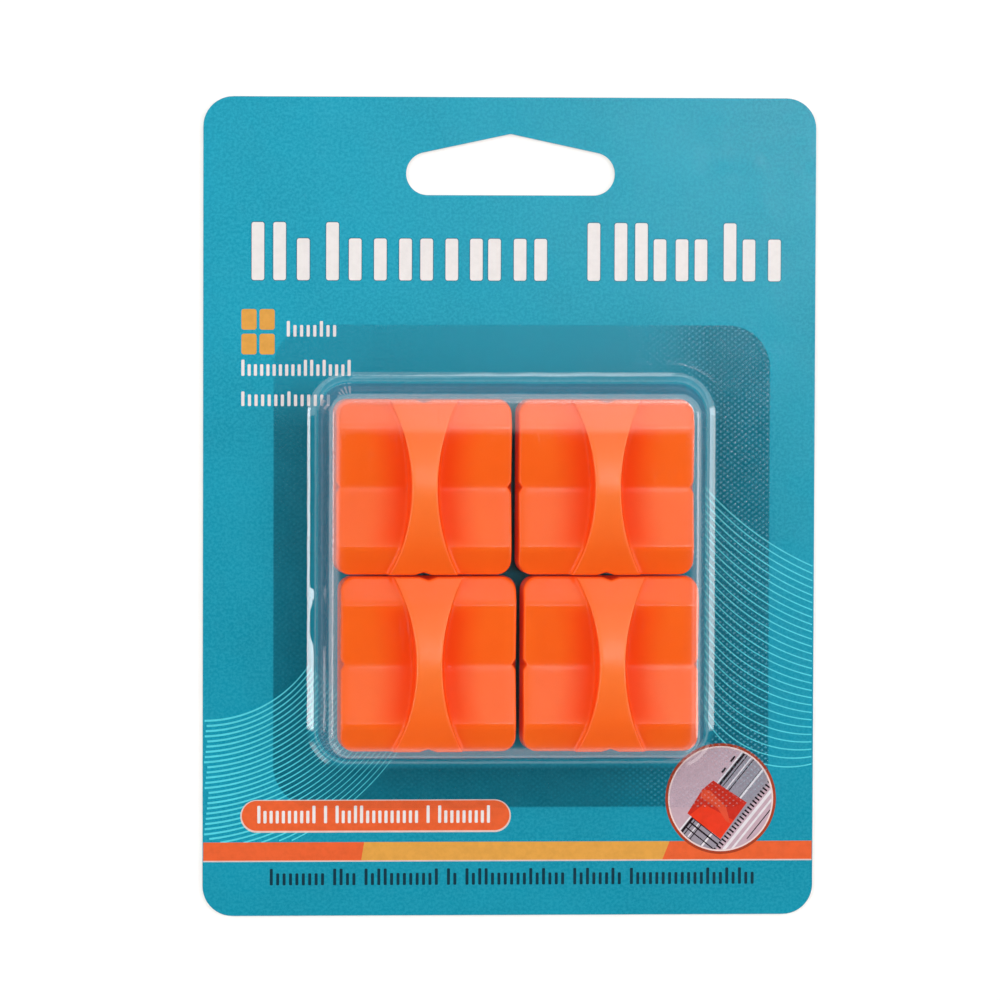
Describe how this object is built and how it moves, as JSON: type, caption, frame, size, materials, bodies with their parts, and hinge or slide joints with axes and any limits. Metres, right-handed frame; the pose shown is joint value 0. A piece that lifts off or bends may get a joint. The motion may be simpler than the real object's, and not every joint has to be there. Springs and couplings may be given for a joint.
{
  "type": "carded pack of paper trimmer blade cartridges",
  "caption": "Hanging blister card holding square spring-loaded blade cartridges for a rail-guided paper trimmer; pressing a cap pushes its hidden blade out.",
  "frame": {"origin": "middle of the card's back face, which is the face that the pack lies on", "axes": "+Z out of the card's front through the clear pocket, +Y towards the hang hole, +X to the reader's right when the front is read upright"},
  "size_m": [0.122, 0.163, 0.0154],
  "materials": {
    "printed_card": "gloss-varnished printed board",
    "clear_pvc": "clear thermoformed sheet",
    "orange_cap": "satin moulded plastic",
    "orange_base": "fine-textured moulded plastic",
    "blade_steel": "ground steel",
    "white_acetal": "natural acetal",
    "spring_wire": "drawn steel wire"
  },
  "bodies": {
    "pack": {"backing_card": "printed_card", "blister_shell": "clear_pvc", "slide_base_1": "orange_base", "rear_spring_1": "spring_wire", "front_spring_1": "spring_wire", "slide_base_2": "orange_base", "rear_spring_2": "spring_wire", "front_spring_2": "spring_wire", "slide_base_3": "orange_base", "rear_spring_3": "spring_wire", "front_spring_3": "spring_wire", "slide_base_4": "orange_base", "rear_spring_4": "spring_wire", "front_spring_4": "spring_wire"},
    "cutter_head_1": {"press_cap_1": "orange_cap", "blade_1": "blade_steel", "blade_clamp_1": "white_acetal"},
    "cutter_head_2": {"press_cap_2": "orange_cap", "blade_2": "blade_steel", "blade_clamp_2": "white_acetal"},
    "cutter_head_3": {"press_cap_3": "orange_cap", "blade_3": "blade_steel", "blade_clamp_3": "white_acetal"},
    "cutter_head_4": {"press_cap_4": "orange_cap", "blade_4": "blade_steel", "blade_clamp_4": "white_acetal"}
  },
  "joints": [
    {"name": "press_1", "type": "slide", "parent": "pack", "child": "cutter_head_1", "axis": [0, 0, -1], "range_m": [0, 0.0024], "stiffness_N_per_m": 1700, "deforming": ["rear_spring_1", "front_spring_1"]},
    {"name": "press_2", "type": "slide", "parent": "pack", "child": "cutter_head_2", "axis": [0, 0, -1], "range_m": [0, 0.0024], "stiffness_N_per_m": 1700, "deforming": ["rear_spring_2", "front_spring_2"]},
    {"name": "press_3", "type": "slide", "parent": "pack", "child": "cutter_head_3", "axis": [0, 0, -1], "range_m": [0, 0.0024], "stiffness_N_per_m": 1700, "deforming": ["rear_spring_3", "front_spring_3"]},
    {"name": "press_4", "type": "slide", "parent": "pack", "child": "cutter_head_4", "axis": [0, 0, -1], "range_m": [0, 0.0024], "stiffness_N_per_m": 1700, "deforming": ["rear_spring_4", "front_spring_4"]}
  ]
}
